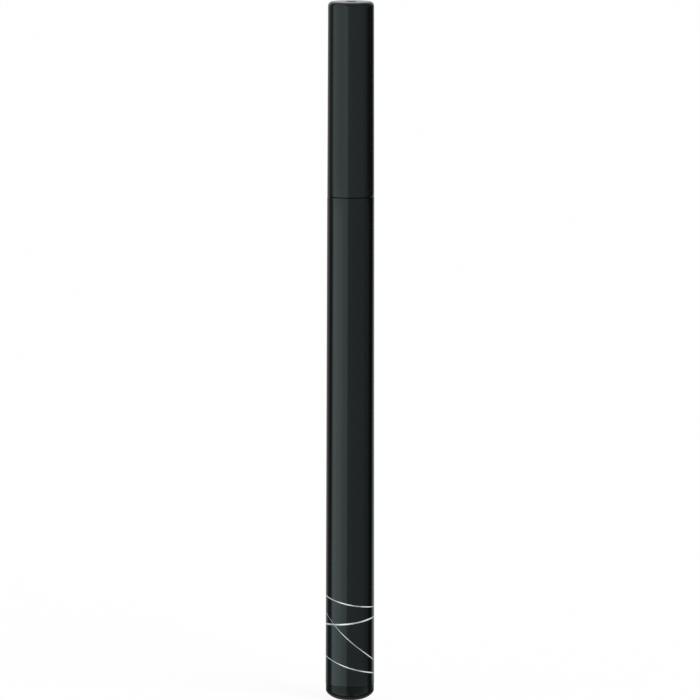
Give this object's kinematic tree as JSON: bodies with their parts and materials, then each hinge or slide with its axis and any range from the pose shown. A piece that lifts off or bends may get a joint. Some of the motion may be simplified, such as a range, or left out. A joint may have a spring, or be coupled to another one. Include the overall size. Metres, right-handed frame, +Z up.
{
  "type": "felt-tip eyeliner pen",
  "caption": "Slim glossy black felt-tip eyeliner pen with a pull-off cap, sealing inner cap, tapered fibre nib, ink reservoir and domed rear plug.",
  "frame": {"origin": "centre of the flat foot of the rear plug, on the surface that the pen stands on", "axes": "+Z up along the pen's axis towards the cap; the pen is turned round Z, and -Y is the side that the picture shows"},
  "size_m": [0.0096, 0.0096, 0.137],
  "materials": {
    "barrel_gloss_black": "moulded, high gloss, very slightly cool black",
    "cap_gloss_black": "moulded, high gloss, very slightly cool black",
    "plug_gloss_black": "moulded, gloss, a little softer than the barrel",
    "section_satin_black": "moulded, satin",
    "inner_cap_milky_white": "natural polyethylene, soft and milky",
    "nib_inked_fibre": "ground bonded fibre, wet with ink",
    "reservoir_fibre": "lengthwise polyester fibre, inked",
    "reservoir_film": "thin clear film",
    "stripe_silver_foil": "hot-stamped silver foil line"
  },
  "bodies": {
    "pen": {"rear_plug": "plug_gloss_black", "barrel": "barrel_gloss_black", "reservoir_core": "reservoir_fibre", "reservoir_wrap": "reservoir_film", "front_section": "section_satin_black", "nib": "nib_inked_fibre"},
    "cap": {"cap_shell": "cap_gloss_black", "inner_cap": "inner_cap_milky_white"}
  },
  "joints": [
    {"name": "cap_pull", "type": "slide", "parent": "pen", "child": "cap", "axis": [0, 0, 1], "range_m": [0, 0.045]}
  ]
}
